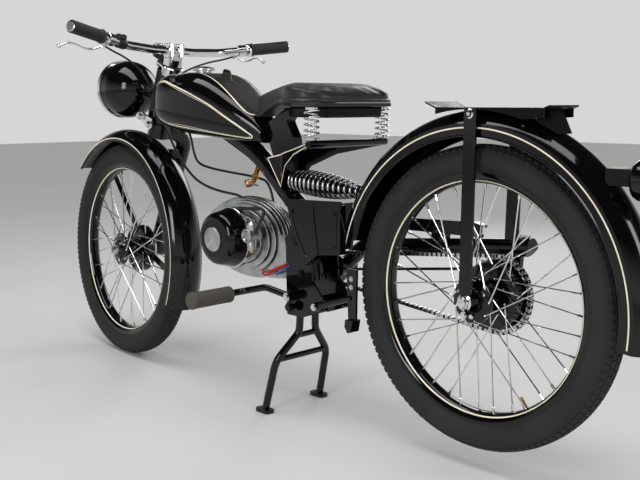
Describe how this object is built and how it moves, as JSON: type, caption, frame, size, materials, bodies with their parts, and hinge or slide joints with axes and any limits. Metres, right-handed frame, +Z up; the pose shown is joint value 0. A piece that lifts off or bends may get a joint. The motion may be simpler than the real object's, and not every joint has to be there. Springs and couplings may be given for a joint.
{
  "type": "light solo motorcycle",
  "caption": "Vintage light solo motorcycle on its centre stand, with wire wheels, a finned engine, a sprung saddle, a teardrop tank and a luggage rack; wheels, steering and stand move.",
  "frame": {"origin": "on the floor under the middle of the overall box", "axes": "+X forward along the machine, +Y to its left, +Z up"},
  "size_m": [1.9374, 0.6604, 0.9279],
  "materials": {
    "black_enamel": "gloss black enamel",
    "black_leather": "semi-matt hide",
    "black_rubber": "matt",
    "bright_steel": "bright",
    "cable_cover": "matt black cover",
    "cast_alloy": "cast, lightly polished",
    "chrome_plate": "bright plated",
    "lamp_glass": "clear pressed glass",
    "spring_steel": "black enamel",
    "tyre_rubber": "matt"
  },
  "bodies": {
    "frame": {"frame_tube": "black_enamel", "frame_plates": "black_enamel", "saddle_bracket": "black_enamel", "rear_arm": "black_enamel", "rear_axle": "bright_steel", "chain": "bright_steel", "chain_guard": "black_enamel", "suspension_spring": "spring_steel", "brake_rod": "black_enamel", "rear_mudguard": "black_enamel", "luggage_rack": "black_enamel", "rack_stays": "black_enamel", "tail_lamp": "black_enamel", "fuel_tank": "black_enamel", "fuel_cap": "cast_alloy", "fuel_tap": "bright_steel", "saddle": "black_leather", "saddle_pan": "black_enamel", "saddle_springs": "chrome_plate", "engine": "cast_alloy", "magneto_cover": "black_enamel", "cover_disc": "cast_alloy", "carburettor": "cast_alloy", "plug_lead": "cable_cover", "battery_box": "black_enamel", "footrests": "black_enamel", "footrest_rubbers": "black_rubber", "kick_lever": "black_enamel", "control_cables": "cable_cover"},
    "fork": {"fork_leg": "black_enamel", "front_axle": "bright_steel", "front_mudguard": "black_enamel", "guard_stays": "black_enamel", "fork_links": "chrome_plate", "headlamp": "black_enamel", "headlamp_rim": "chrome_plate", "headlamp_lens": "lamp_glass", "handlebar": "chrome_plate", "grips": "black_rubber", "levers": "chrome_plate", "bar_clamp": "chrome_plate", "speedometer": "bright_steel"},
    "front_wheel": {"front_tyre": "tyre_rubber", "front_rim": "black_enamel", "front_hub": "bright_steel"},
    "rear_wheel": {"rear_tyre": "tyre_rubber", "rear_rim": "black_enamel", "rear_hub": "bright_steel"},
    "stand": {"centre_stand": "black_enamel"}
  },
  "joints": [
    {"name": "steering", "type": "hinge", "parent": "frame", "child": "fork", "pos_m": [0.46, 0, 0.74], "axis": [-0.3746, 0, 0.9272], "range_deg": [-32, 44]},
    {"name": "front_wheel_spin", "type": "hinge", "parent": "fork", "child": "front_wheel", "pos_m": [0.66486, -0.00287, 0.30594], "axis": [0.0969, 0.9945, 0.0392], "continuous": true},
    {"name": "rear_wheel_spin", "type": "hinge", "parent": "frame", "child": "rear_wheel", "pos_m": [-0.595, 0, 0.346], "axis": [0, 1, 0], "continuous": true},
    {"name": "stand_fold", "type": "hinge", "parent": "frame", "child": "stand", "pos_m": [-0.098, 0, 0.259], "axis": [0, 1, 0], "range_deg": [0, 68]}
  ]
}
